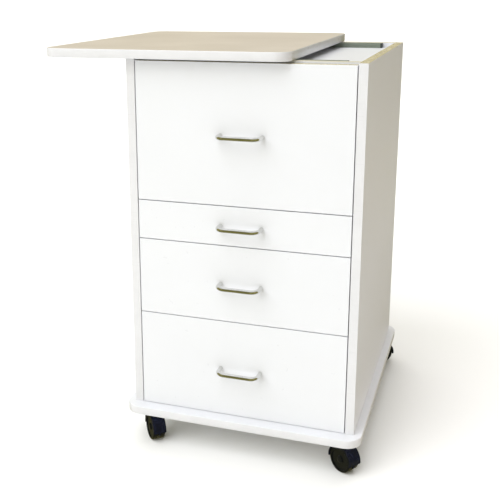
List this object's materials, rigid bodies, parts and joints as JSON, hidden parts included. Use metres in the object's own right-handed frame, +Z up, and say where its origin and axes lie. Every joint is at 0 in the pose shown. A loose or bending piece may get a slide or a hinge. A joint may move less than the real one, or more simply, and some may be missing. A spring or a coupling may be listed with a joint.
{
  "type": "spa trolley cart",
  "caption": "White laminate spa trolley on swivel casters, with inset drawers on steel slides, chrome bow pulls and a work top that slides sideways.",
  "frame": {"origin": "on the floor, below the centre of the outer box with the top slid open to the left, all drawers shut", "axes": "+Z up, drawer fronts face -Y, +X to the right of someone facing the drawers"},
  "size_m": [0.5985, 0.565, 0.7642],
  "materials": {
    "white_laminate": "white melamine-faced particle board, satin",
    "drawer_board": "white melamine-faced board, satin",
    "chrome_pull": "polished chrome",
    "zinc_screw": "zinc plated",
    "track_aluminium": "anodised, satin",
    "runner_nylon": "matte nylon",
    "end_cap_black": "matte",
    "slide_zinc": "zinc plated",
    "caster_black": "satin black moulding",
    "wheel_black": "satin black moulding",
    "axle_steel": "bright steel",
    "plate_zinc": "zinc plated"
  },
  "bodies": {
    "cabinet": {"back_panel": "white_laminate", "base_board": "white_laminate", "cabinet_slides": "slide_zinc", "caster_plate_front_left": "plate_zinc", "caster_plate_front_right": "plate_zinc", "caster_plate_rear_left": "plate_zinc", "caster_plate_rear_right": "plate_zinc", "caster_screws": "zinc_screw", "front_top_rail": "white_laminate", "front_track": "track_aluminium", "inner_deck": "white_laminate", "left_side_panel": "white_laminate", "rear_top_rail": "white_laminate", "rear_track": "track_aluminium", "right_side_panel": "white_laminate", "track_end_caps": "end_cap_black", "track_screws": "zinc_screw"},
    "sliding_top": {"sliding_top": "white_laminate", "top_runners": "runner_nylon", "runner_screws": "zinc_screw"},
    "wheels_front_left": {"caster_axle_front_left": "axle_steel", "caster_wheels_front_left": "wheel_black"},
    "wheels_front_right": {"caster_axle_front_right": "axle_steel", "caster_wheels_front_right": "wheel_black"},
    "wheels_rear_left": {"caster_axle_rear_left": "axle_steel", "caster_wheels_rear_left": "wheel_black"},
    "wheels_rear_right": {"caster_axle_rear_right": "axle_steel", "caster_wheels_rear_right": "wheel_black"},
    "swivel_front_left": {"caster_hood_front_left": "caster_black"},
    "swivel_front_right": {"caster_hood_front_right": "caster_black"},
    "swivel_rear_left": {"caster_hood_rear_left": "caster_black"},
    "swivel_rear_right": {"caster_hood_rear_right": "caster_black"},
    "drawer_1": {"drawer_1_back": "drawer_board", "drawer_1_bottom": "drawer_board", "drawer_1_front": "white_laminate", "drawer_1_pull": "chrome_pull", "drawer_1_pull_screws": "zinc_screw", "drawer_1_sides": "drawer_board", "drawer_1_slides": "slide_zinc"},
    "drawer_2": {"drawer_2_back": "drawer_board", "drawer_2_bottom": "drawer_board", "drawer_2_front": "white_laminate", "drawer_2_pull": "chrome_pull", "drawer_2_pull_screws": "zinc_screw", "drawer_2_sides": "drawer_board", "drawer_2_slides": "slide_zinc"},
    "drawer_3": {"drawer_3_back": "drawer_board", "drawer_3_bottom": "drawer_board", "drawer_3_front": "white_laminate", "drawer_3_pull": "chrome_pull", "drawer_3_pull_screws": "zinc_screw", "drawer_3_sides": "drawer_board", "drawer_3_slides": "slide_zinc"},
    "drawer_4": {"drawer_4_back": "drawer_board", "drawer_4_bottom": "drawer_board", "drawer_4_front": "white_laminate", "drawer_4_pull": "chrome_pull", "drawer_4_pull_screws": "zinc_screw", "drawer_4_sides": "drawer_board", "drawer_4_slides": "slide_zinc"}
  },
  "joints": [
    {"name": "top_slide", "type": "slide", "parent": "cabinet", "child": "sliding_top", "axis": [1, 0, 0], "range_m": [0, 0.141]},
    {"name": "drawer_1_slide", "type": "slide", "parent": "cabinet", "child": "drawer_1", "axis": [0, -1, 0], "range_m": [0, 0.33]},
    {"name": "drawer_2_slide", "type": "slide", "parent": "cabinet", "child": "drawer_2", "axis": [0, -1, 0], "range_m": [0, 0.33]},
    {"name": "drawer_3_slide", "type": "slide", "parent": "cabinet", "child": "drawer_3", "axis": [0, -1, 0], "range_m": [0, 0.33]},
    {"name": "drawer_4_slide", "type": "slide", "parent": "cabinet", "child": "drawer_4", "axis": [0, -1, 0], "range_m": [0, 0.33]},
    {"name": "caster_front_left_swivel", "type": "hinge", "parent": "cabinet", "child": "swivel_front_left", "pos_m": [-0.1155, -0.2325, 0.055], "axis": [0, 0, 1], "continuous": true},
    {"name": "caster_front_left_roll", "type": "hinge", "parent": "swivel_front_left", "child": "wheels_front_left", "pos_m": [-0.1065, -0.24322, 0.025], "axis": [0.766, 0.6428, 0], "continuous": true},
    {"name": "caster_front_right_swivel", "type": "hinge", "parent": "cabinet", "child": "swivel_front_right", "pos_m": [0.2565, -0.2325, 0.055], "axis": [0, 0, 1], "continuous": true},
    {"name": "caster_front_right_roll", "type": "hinge", "parent": "swivel_front_right", "child": "wheels_front_right", "pos_m": [0.26797, -0.24053, 0.025], "axis": [0.5736, 0.8192, 0], "continuous": true},
    {"name": "caster_rear_left_swivel", "type": "hinge", "parent": "cabinet", "child": "swivel_rear_left", "pos_m": [-0.1155, 0.2395, 0.055], "axis": [0, 0, 1], "continuous": true},
    {"name": "caster_rear_left_roll", "type": "hinge", "parent": "swivel_rear_left", "child": "wheels_rear_left", "pos_m": [-0.1085, 0.22738, 0.025], "axis": [0.866, 0.5, 0], "continuous": true},
    {"name": "caster_rear_right_swivel", "type": "hinge", "parent": "cabinet", "child": "swivel_rear_right", "pos_m": [0.2565, 0.2395, 0.055], "axis": [0, 0, 1], "continuous": true},
    {"name": "caster_rear_right_roll", "type": "hinge", "parent": "swivel_rear_right", "child": "wheels_rear_right", "pos_m": [0.26862, 0.2465, 0.025], "axis": [-0.5, 0.866, 0], "continuous": true}
  ]
}
